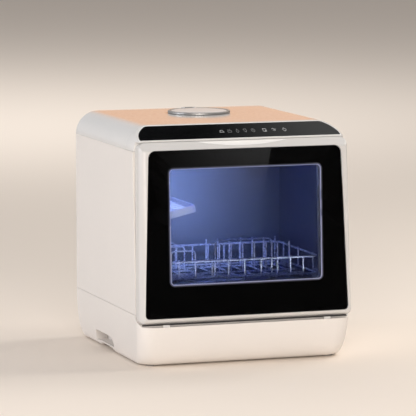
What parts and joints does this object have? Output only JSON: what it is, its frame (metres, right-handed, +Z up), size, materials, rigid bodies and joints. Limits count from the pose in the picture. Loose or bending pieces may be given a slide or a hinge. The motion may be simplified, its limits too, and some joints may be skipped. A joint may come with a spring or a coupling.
{
  "type": "countertop dishwasher",
  "caption": "Compact box-shaped tabletop dishwasher with a drop-down glass door, a slide-out wire rack, rotating spray arms and a round water fill lid.",
  "frame": {"origin": "centre of the footprint, on the surface the feet rest on", "axes": "+Z up, the glass door faces -Y, +X to the right seen from the front"},
  "size_m": [0.43, 0.43, 0.4613],
  "materials": {
    "white_plastic": "satin moulded plastic, warm white",
    "side_plastic": "satin moulded plastic, warm white side skins",
    "black_glass": "polished back-printed black glass",
    "clear_glass": "clear toughened glass",
    "black_print": "black print on the back of the glass",
    "foot_rubber": "matt",
    "gasket_rubber": "matt",
    "tub_steel": "satin",
    "wire": "nylon-coated steel wire, grey",
    "grey_plastic": "satin mid grey",
    "dark_plastic": "satin",
    "light_plastic": "satin",
    "steel": "bright",
    "metal_trim": "satin, warm reflection",
    "circuit": "solder mask",
    "tank_plastic": "translucent moulded tank",
    "lamp": "lit blue lamp cover",
    "hose_plastic": "corrugated hose, plain"
  },
  "bodies": {
    "cabinet": {"base_housing": "side_plastic", "service_plate": "steel", "rubber_feet": "foot_rubber", "left_side_panel": "side_plastic", "right_side_panel": "side_plastic", "top_cover": "white_plastic", "control_housing": "white_plastic", "control_glass": "black_glass", "icon_light_guide": "light_plastic", "control_board": "circuit", "rear_panel": "side_plastic", "vent_grille": "grey_plastic", "tub": "tub_steel", "front_frame": "side_plastic", "door_gasket": "gasket_rubber", "hinge_brackets": "steel", "hinge_pins": "steel", "hinge_springs": "steel", "door_rest_pads": "light_plastic", "latch_housing": "dark_plastic", "reed_sensor": "light_plastic", "water_tank": "tank_plastic", "fill_funnel": "light_plastic", "fill_collar": "white_plastic", "wash_pump_volute": "dark_plastic", "wash_pump_motor": "steel", "drain_pump_body": "dark_plastic", "flow_heater": "steel", "sump": "dark_plastic", "fan_housing": "dark_plastic", "uv_lamp": "lamp", "main_board": "circuit", "connection_box": "dark_plastic", "drain_spigot": "dark_plastic", "water_inlet_valve": "light_plastic", "cord_gland": "dark_plastic", "hoses": "hose_plastic", "spray_riser": "light_plastic", "upper_spray_feed": "light_plastic", "panel_screws": "steel"},
    "door": {"door_frame": "white_plastic", "door_glass": "clear_glass", "glass_border": "black_print", "window_spacer": "grey_plastic", "inner_pane": "clear_glass", "door_liner": "light_plastic", "door_strike": "steel", "hinge_lugs": "steel"},
    "rack": {"rack_rails": "wire", "rack_basket_wires": "wire", "plate_tines": "wire", "rack_glides": "grey_plastic"},
    "cup_shelf": {"cup_shelf": "grey_plastic"},
    "lower_spray_arm": {"lower_spray_arm": "grey_plastic"},
    "upper_spray_arm": {"upper_spray_arm": "grey_plastic"},
    "filter_cup": {"filter_cup": "grey_plastic"},
    "fill_lid": {"fill_lid": "metal_trim"},
    "fan_rotor": {"fan_rotor": "dark_plastic"},
    "wash_impeller": {"wash_impeller": "light_plastic"},
    "drain_impeller": {"drain_impeller": "light_plastic"}
  },
  "joints": [
    {"name": "door_hinge", "type": "hinge", "parent": "cabinet", "child": "door", "pos_m": [0, -0.199, 0.101], "axis": [1, 0, 0], "range_deg": [0, 90]},
    {"name": "rack_slide", "type": "slide", "parent": "cabinet", "child": "rack", "axis": [0, -1, 0], "range_m": [0, 0.158]},
    {"name": "cup_shelf_fold", "type": "hinge", "parent": "rack", "child": "cup_shelf", "pos_m": [-0.169, 0, 0.27], "axis": [0, -1, 0], "range_deg": [0, 70]},
    {"name": "lower_arm_spin", "type": "hinge", "parent": "cabinet", "child": "lower_spray_arm", "pos_m": [0, -0.034, 0.132], "axis": [0, 0, 1], "continuous": true},
    {"name": "upper_arm_spin", "type": "hinge", "parent": "cabinet", "child": "upper_spray_arm", "pos_m": [0.062, -0.034, 0.383], "axis": [0, 0, 1], "continuous": true},
    {"name": "filter_twist", "type": "hinge", "parent": "cabinet", "child": "filter_cup", "pos_m": [0.092, -0.1, 0.118], "axis": [0, 0, 1], "range_deg": [0, 60]},
    {"name": "fill_lid_hinge", "type": "hinge", "parent": "cabinet", "child": "fill_lid", "pos_m": [0.006, 0.161, 0.4584], "axis": [-1, 0, 0], "range_deg": [0, 100]},
    {"name": "fan_spin", "type": "hinge", "parent": "cabinet", "child": "fan_rotor", "pos_m": [0.13, 0.16, 0.33], "axis": [0, 1, 0], "continuous": true},
    {"name": "wash_pump_spin", "type": "hinge", "parent": "cabinet", "child": "wash_impeller", "pos_m": [-0.06, 0.04, 0.07], "axis": [1, 0, 0], "continuous": true},
    {"name": "drain_pump_spin", "type": "hinge", "parent": "cabinet", "child": "drain_impeller", "pos_m": [0.13, 0.09, 0.066], "axis": [0, 1, 0], "continuous": true}
  ],
  "couplings": [
    {"joint": "rack_slide", "follows": "door_hinge", "m_per_rad": 0.1}
  ]
}
